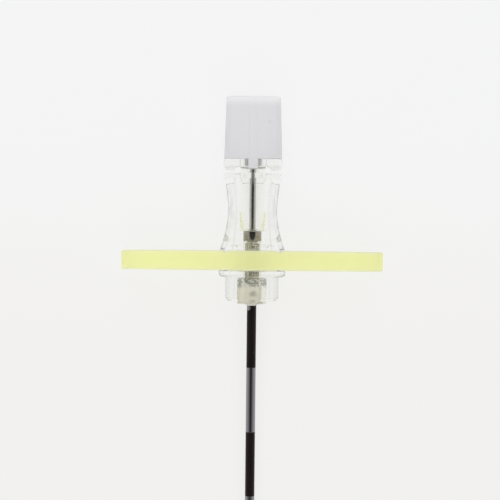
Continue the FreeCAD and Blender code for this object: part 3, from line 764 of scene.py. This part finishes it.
class NEEDLE_OT_stylet(bpy.types.Operator):
    """Draws the stylet's wire and grinds its end to the point's opening"""
    bl_idname = "needle.stylet"
    bl_label = "Stylet wire"

    def execute(self, context):
        shaft = context.scene.needle_shaft
        radius, reach, bend = mm(shaft.stylet_radius), mm(shaft.reach), mm(shaft.bend_radius)
        outer = mm(shaft.outer_radius)
        top = mm(shaft.stylet_top)
        outline = rounded([(0, -reach, 0), (radius, -reach, 0), (radius, top, 0.08), (0, top, 0)])
        wire = turned("stylet_rod", outline, 48)
        lean = Vector((0, -math.cos(shaft.bevel), -math.sin(shaft.bevel)))
        nose = Vector((0, (bend + outer) * math.cos(shaft.nose_turn) - bend, -reach))
        self.grind(wire, nose - lean * STYLET_SUNK, lean)
        start = (bend + outer) * math.sin(shaft.nose_turn) - reach
        heel = Vector((0, (bend + radius) * math.cos(shaft.nose_turn) - bend,
                       start - (bend + radius) * math.sin(shaft.nose_turn)))
        slope = Vector((0, radius, start)) - heel
        self.grind(wire, heel, Vector((0, slope.z, -slope.y)))
        finish = turned_steel("drawn_wire", (0.66, 0.65, 0.64), (4, 4, 0.15), 0.14)
        settle(wire, "stylet", finish, ["stylet_wire"])
        return {"FINISHED"}

    def grind(self, wire, place, outward):
        """Cuts the wire's end back to a plane and closes it."""
        edit(wire, "SELECT")
        bpy.ops.mesh.bisect(plane_co=place, plane_no=outward.normalized(), clear_outer=True, use_fill=True)
        close_up()


class NEEDLE_OT_cap(bpy.types.Operator):
    """Moulds the white cap with its draft, rounded edges, orientation line, tongue, cored underside and plug"""
    bl_idname = "needle.cap"
    bl_label = "Stylet cap"

    def execute(self, context):
        sizes = context.scene.needle_cap
        half, top_half = mm(sizes.base_width) / 2, mm(sizes.top_width) / 2
        low, high = mm(sizes.floor), mm(sizes.top)
        cap = self.drafted("cap_moulding", half, top_half, low, high, 1.0)
        round_picked(cap, "edges", lambda ends: min(ends[0].z, ends[1].z) > high - 1e-3, 0.3, 5)
        round_picked(cap, "edges", lambda ends: max(ends[0].z, ends[1].z) < low + 1e-3, 0.08, 2)
        core = self.drafted("core", half - CAP_WALL, half - CAP_WALL - 0.1, low - 1, low + CORE_DEPTH, 0.5)
        post = turned("post", [(0, low - 2), (POST, low - 2), (POST - 0.05, low + 8), (0, low + 8)], 64)
        combine(core, post, "DIFFERENCE")
        combine(cap, core, "DIFFERENCE")
        plug = turned("plug", rounded([(0, low - PLUG_LENGTH, 0), (PLUG_END, low - PLUG_LENGTH, 0.15),
                                       (PLUG, low + 0.2, 0), (0, low + 0.2, 0)]), 64)
        combine(cap, plug, "UNION")
        combine(cap, self.tongue(half, low), "UNION")
        combine(cap, self.line(half, top_half, low, high), "UNION")
        settle(cap, "stylet", white_moulding(sizes), ["stylet_cap"])
        return {"FINISHED"}

    def drafted(self, name, half, top_half, low, high, corner):
        """A block with rounded corners, narrower at its top."""
        piece = block(name, (-half, -half, low), (half, half, high))
        edit(piece)
        pick(piece, "vertices", lambda at: at[0].z > high - 1e-3)
        bpy.ops.transform.resize(value=(top_half / half, top_half / half, 1), center_override=(0, 0, high))
        bpy.ops.object.mode_set(mode="OBJECT")
        round_picked(piece, "edges", is_upright, corner, 8)
        return piece

    def tongue(self, half, low):
        """The keying tongue that drops into the flange's notch."""
        end = low - TONGUE_DROP
        tongue = block("tongue", (-TONGUE_HALF, -half, end), (TONGUE_HALF, CAP_WALL - half, low + 0.2))
        round_picked(tongue, "edges", lambda ends: max(ends[0].z, ends[1].z) < end + 0.01, 0.12, 2)
        return tongue

    def line(self, half, top_half, low, high):
        """The raised orientation line down the cap's front."""
        line = block("line", (-LINE_HALF, -half - LINE_RISE, low + 0.05), (LINE_HALF, -half + 0.6, high - 0.3))
        edit(line)
        pick(line, "vertices", lambda at: at[0].z > low + 1)
        bpy.ops.transform.translate(value=(0, half - top_half, 0))
        bpy.ops.object.mode_set(mode="OBJECT")
        round_picked(line, "edges", lambda ends: max(at.y for at in ends) < -top_half + 0.05, 0.06, 2)
        return line


class NEEDLE_OT_stage(bpy.types.Operator):
    """Sets the pale table, the soft lamps and the camera"""
    bl_idname = "needle.stage"
    bl_label = "Stage"

    def execute(self, context):
        stage = context.scene.needle_stage
        scene = context.scene
        scene.view_settings.view_transform = "Standard"
        scene.cycles.max_bounces = 32
        scene.cycles.glossy_bounces = 24
        scene.cycles.transmission_bounces = 32
        scene.cycles.transparent_max_bounces = 24
        self.table(stage)
        self.surroundings(scene)
        for name, place, width, power in (
            ("lamp_over_cap", (0, 0.36, 0.58), 0.5, stage.key),
            ("lamp_at_point", (0, -0.26, 0.62), 0.5, stage.fill),
            ("lamp_left", (-0.60, 0.05, 0.25), 0.4, stage.fill * 0.25),
            ("lamp_right", (0.60, 0.05, 0.25), 0.4, stage.fill * 0.20),
        ):
            self.lamp(name, Vector(place), width, power)
        self.camera(scene, stage)
        return {"FINISHED"}

    def table(self, stage):
        """A wide pale table, its colour a little darker and warmer towards the point end as painted shade. Sight,
        reflections and refractions meet it nearly evenly lit, and it keeps shadows.
        """
        deselect()
        bpy.ops.mesh.primitive_plane_add(size=6, location=(0, 0, 0))
        table = name_new("table")
        finish = Finish("pale_table")
        # Painted shade: the table's colour grows darker and warmer towards the needle's point end.
        low = (stage.table[0] * 0.972, stage.table[1] * 0.965, stage.table[2] * 0.945)
        tint = finish.blend(finish.ramp(finish.up, -12, 30), opaque(low), opaque(stage.table))
        paint = finish.add("BsdfDiffuse", {"Color": tint})
        glow = finish.add("Emission", {"Color": tint, "Strength": 1.0})
        path = finish.add("LightPath")
        seen = finish.sum("MAXIMUM", path.outputs["Is Camera Ray"], path.outputs["Is Glossy Ray"])
        through = finish.sum("MULTIPLY", path.outputs["Is Transmission Ray"], self.pool(finish))
        seen = finish.sum("MAXIMUM", finish.sum("MULTIPLY", seen, 0.86), through)
        table.data.materials.append(finish.end(finish.mix(seen, paint, glow).outputs[0]))

    def pool(self, finish):
        """How bright the table shines through clear plastic, falling off to both sides of the needle."""
        return finish.ramp(finish.sum("ABSOLUTE", finish.across), 5, 45, 1.0, 0.75)

    def surroundings(self, scene):
        """A room that is bright round its edge and dim overhead, and even for the light that dull surfaces gather."""
        world = bpy.data.worlds.new("studio")
        scene.world = world
        world.use_nodes = True
        tree = world.node_tree
        tree.nodes.clear()
        split = tree.nodes.new("ShaderNodeSeparateXYZ")
        tree.links.new(tree.nodes.new("ShaderNodeTexCoord").outputs["Generated"], split.inputs[0])
        path = tree.nodes.new("ShaderNodeLightPath")
        sharp = tree.nodes.new("ShaderNodeMath")
        sharp.operation = "LESS_THAN"
        tree.links.new(path.outputs["Diffuse Depth"], sharp.inputs[0])
        open_air = self.gradient(tree, split, ((0, 0.80), (0.35, 0.60), (0.70, 0.42), (0.88, 0.20), (0.97, 0.03)))
        refracted = self.gradient(tree, split, ((0, 0.72), (0.30, 0.76), (0.60, 0.75), (0.82, 0.04)))
        often = tree.nodes.new("ShaderNodeMath")
        often.operation = "GREATER_THAN"
        often.inputs[1].default_value = 1.5
        tree.links.new(path.outputs["Glossy Depth"], often.inputs[0])
        refracted = self.choose(tree, often.outputs[0], refracted, (0.75, 0.75, 0.75, 1))
        refracted = self.choose(tree, sharp.outputs[0], (0.98, 0.98, 0.98, 1), refracted)
        seen = self.choose(tree, path.outputs["Is Transmission Ray"], open_air, refracted)
        light = tree.nodes.new("ShaderNodeBackground")
        tree.links.new(seen, light.inputs["Color"])
        tree.links.new(light.outputs[0], tree.nodes.new("ShaderNodeOutputWorld").inputs["Surface"])

    def choose(self, tree, factor, first, second):
        """The first colour where the factor is zero, the second where it is one."""
        mix = tree.nodes.new("ShaderNodeMix")
        mix.data_type = "RGBA"
        tree.links.new(factor, mix.inputs[0])
        for socket, given in ((mix.inputs[6], first), (mix.inputs[7], second)):
            if isinstance(given, tuple):
                socket.default_value = given
            else:
                tree.links.new(given, socket)
        return mix.outputs[2]

    def gradient(self, tree, split, stops):
        """A ramp of greys from the horizon to overhead."""
        ramp = tree.nodes.new("ShaderNodeValToRGB")
        elements = ramp.color_ramp.elements
        elements[0].position, elements[1].position = stops[0][0], stops[-1][0]
        for place, _ in stops[1:-1]:
            elements.new(place)
        for element, (_, grey) in zip(elements, stops):
            element.color = (grey, grey, grey, 1)
        tree.links.new(split.outputs["Z"], ramp.inputs[0])
        return ramp.outputs[0]

    def lamp(self, name, place, width, power):
        """A soft square lamp turned to the hub."""
        deselect()
        aim = (FACE_CENTRE + CAPWARD * 0.01 - place).to_track_quat("-Z", "Y").to_euler()
        bpy.ops.object.light_add(type="AREA", location=place, rotation=aim)
        lamp = bpy.context.object
        lamp.name = name
        lamp.data.shape = "SQUARE"
        lamp.data.size = width
        lamp.data.energy = power
        lamp.visible_transmission = False
        lamp.visible_glossy = False

    def camera(self, scene, stage):
        """The camera square over the needle, with the cap at the top of the picture."""
        deselect()
        bpy.ops.object.camera_add()
        camera = bpy.context.object
        camera.name = "camera"
        target = RESTING @ Vector((-0.345, 0, 8.36))
        side = CAPWARD.cross(FACING)
        up = CAPWARD * math.cos(stage.lean) - side * math.sin(stage.lean)
        right = side * math.cos(stage.lean) + CAPWARD * math.sin(stage.lean)
        turn = Matrix((right, up, FACING)).transposed().to_4x4()
        camera.matrix_world = Matrix.Translation(target + FACING * stage.distance) @ turn
        camera.data.sensor_width = 36
        camera.data.lens = 36 * stage.distance / stage.field
        camera.data.clip_start = 0.01
        scene.camera = camera


class NEEDLE_PT_panel(bpy.types.Panel):
    """The needle's sizes, finishes and building steps"""
    bl_idname = "NEEDLE_PT_panel"
    bl_label = "Epidural Needle"
    bl_space_type = "VIEW_3D"
    bl_region_type = "UI"
    bl_category = "Needle"

    def draw(self, context):
        for name, steps in GROUPS.items():
            box = self.layout.box()
            group = getattr(context.scene, name)
            for key in group.bl_rna.properties.keys():
                if key not in ("rna_type", "name"):
                    box.prop(group, key)
            for step in steps:
                box.operator(step.bl_idname)


GROUPS = {
    "needle_shaft": (NEEDLE_OT_cannula, NEEDLE_OT_bush, NEEDLE_OT_stylet),
    "needle_hub": (NEEDLE_OT_hub, NEEDLE_OT_adhesive),
    "needle_wing": (NEEDLE_OT_wing,),
    "needle_cap": (NEEDLE_OT_cap,),
    "needle_stage": (NEEDLE_OT_stage,),
}
KINDS = {
    "needle_shaft": NeedleShaft,
    "needle_hub": NeedleHub,
    "needle_wing": NeedleWing,
    "needle_cap": NeedleCap,
    "needle_stage": NeedleStage,
}


def register():
    """Adds the classes and their properties."""
    for name, kind in KINDS.items():
        bpy.utils.register_class(kind)
        setattr(bpy.types.Scene, name, bpy.props.PointerProperty(type=kind))
        for step in GROUPS[name]:
            bpy.utils.register_class(step)
    bpy.utils.register_class(NEEDLE_PT_panel)


def unregister():
    """Takes the classes and their properties away."""
    bpy.utils.unregister_class(NEEDLE_PT_panel)
    for name, kind in KINDS.items():
        for step in GROUPS[name]:
            bpy.utils.unregister_class(step)
        delattr(bpy.types.Scene, name)
        bpy.utils.unregister_class(kind)


def main():
    """Builds every piece and the stage."""
    register()
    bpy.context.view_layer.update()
    for steps in GROUPS.values():
        for step in steps:
            group, name = step.bl_idname.split(".")
            getattr(getattr(bpy.ops, group), name)()


if __name__ == "__main__":
    main()
